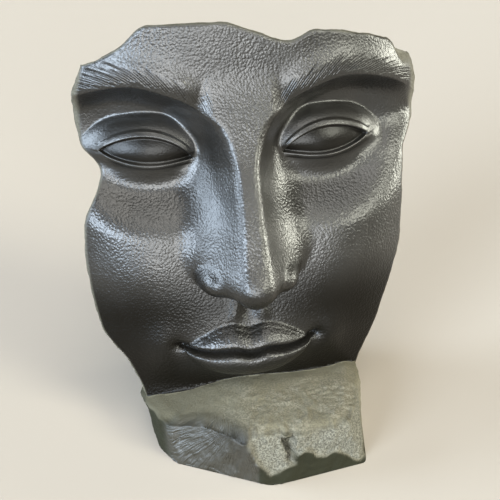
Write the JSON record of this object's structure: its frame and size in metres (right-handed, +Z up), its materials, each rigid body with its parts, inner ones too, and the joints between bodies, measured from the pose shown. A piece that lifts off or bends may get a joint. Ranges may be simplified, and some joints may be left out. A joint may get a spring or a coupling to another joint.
{
  "type": "face sculpture on rock stump",
  "caption": "Broken-off calm face with blank eyes, leaning back a little, cast in one piece with the low rock stump under its lips.",
  "frame": {"origin": "on the floor, under the middle of the casting's box", "axes": "+Z up, the face looks along -Y, +X to the right as seen from the front"},
  "size_m": [0.335, 0.2276, 0.3996],
  "materials": {
    "dark_casting": "gunmetal black with a satin gloss and a fine pebbled grain on the face, matt grey-green on the stump and breaks"
  },
  "bodies": {
    "root": {"face_fragment": "dark_casting"}
  },
  "joints": []
}
